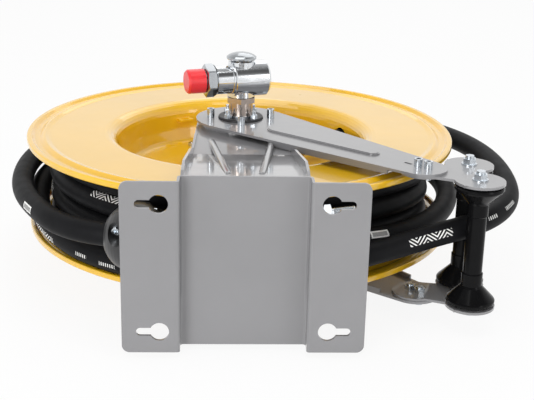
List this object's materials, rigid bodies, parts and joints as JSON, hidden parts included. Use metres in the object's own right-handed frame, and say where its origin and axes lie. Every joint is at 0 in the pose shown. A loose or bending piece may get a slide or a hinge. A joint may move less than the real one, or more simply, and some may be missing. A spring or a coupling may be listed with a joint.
{
  "type": "hose reel",
  "caption": "Open spring-rewind hose reel: pressed discs on a shaft with a water swivel, folded wall bracket, guide arms with rollers, wound hose and a free end with a ball stop.",
  "frame": {"origin": "on the wall face, at the centre of the four keyholes' round ends", "axes": "+Y from the wall to the reel, +Z along the reel's shaft towards the water swivel, +X to the side of the guide rollers"},
  "size_m": [0.6368, 0.6182, 0.2698],
  "materials": {
    "grey_paint": "gloss",
    "yellow_paint": "gloss",
    "black_paint": "satin",
    "black_nylon": "satin",
    "zinc_steel": "zinc plated",
    "spring_steel": "oiled",
    "hose_rubber": "satin",
    "stop_rubber": "satin",
    "plated_steel": "bright plated",
    "seal_rubber": "matt",
    "red_plastic": "gloss",
    "roller_plastic": "gloss"
  },
  "bodies": {
    "frame": {"wall_bracket": "grey_paint", "guide_arm_top": "grey_paint", "guide_arm_bottom": "grey_paint", "arm_bolts_top": "zinc_steel", "arm_bolts_bottom": "zinc_steel", "bearing_top": "black_nylon", "bearing_bottom": "black_nylon", "bearing_bolts_top": "zinc_steel", "bearing_bolts_bottom": "zinc_steel", "yoke_top": "grey_paint", "yoke_bottom": "grey_paint", "yoke_bolts_top": "zinc_steel", "yoke_bolts_bottom": "zinc_steel", "roller_pin_front": "zinc_steel", "roller_pin_rear": "zinc_steel", "spring_arbor": "zinc_steel", "pawl_pin": "zinc_steel", "pawl_spring": "spring_steel", "hose_free": "hose_rubber", "hose_stop_front": "stop_rubber", "hose_stop_rear": "stop_rubber", "stop_bolts": "zinc_steel", "hose_ferrule": "plated_steel", "hose_nipple": "plated_steel"},
    "drum": {"disc_top": "yellow_paint", "disc_bottom": "yellow_paint", "drum_shaft": "plated_steel", "hub_ring": "zinc_steel", "hub_bolts": "zinc_steel", "spring_case": "black_paint", "case_bolts": "zinc_steel", "power_spring": "spring_steel", "ratchet_wheel": "zinc_steel", "shaft_washers": "zinc_steel", "drum_outlet": "plated_steel", "outlet_ferrule": "plated_steel", "hose_lead": "hose_rubber", "hose_core": "hose_rubber", "hose_winding": "hose_rubber", "swivel_dome": "plated_steel", "swivel_seals": "seal_rubber"},
    "swivel": {"swivel_body": "plated_steel", "inlet_adapter": "plated_steel"},
    "inlet_cap": {"inlet_cap": "red_plastic"},
    "roller_front": {"roller_front_sleeve": "roller_plastic", "roller_front_cone_top": "roller_plastic", "roller_front_cone_bottom": "roller_plastic"},
    "roller_rear": {"roller_rear_sleeve": "roller_plastic", "roller_rear_cone_top": "roller_plastic", "roller_rear_cone_bottom": "roller_plastic"},
    "latch_pawl": {"latch_pawl": "zinc_steel"}
  },
  "joints": [
    {"name": "drum_spin", "type": "hinge", "parent": "frame", "child": "drum", "pos_m": [0, 0.327, 0], "axis": [0, 0, 1], "continuous": true},
    {"name": "swivel_turn", "type": "hinge", "parent": "drum", "child": "swivel", "pos_m": [0, 0.327, 0], "axis": [0, 0, 1], "continuous": true},
    {"name": "cap_pull", "type": "slide", "parent": "swivel", "child": "inlet_cap", "axis": [-0.9511, -0.309, 0], "range_m": [0, 0.04]},
    {"name": "roller_front_spin", "type": "hinge", "parent": "frame", "child": "roller_front", "pos_m": [0.26223, 0.07951, 0], "axis": [0, 0, 1], "continuous": true},
    {"name": "roller_rear_spin", "type": "hinge", "parent": "frame", "child": "roller_rear", "pos_m": [0.26223, 0.13851, 0], "axis": [0, 0, 1], "continuous": true},
    {"name": "pawl_swing", "type": "hinge", "parent": "frame", "child": "latch_pawl", "pos_m": [0, 0.241, 0], "axis": [0, 0, 1], "range_deg": [-6, 25], "stiffness_Nm_per_rad": 0.05}
  ]
}
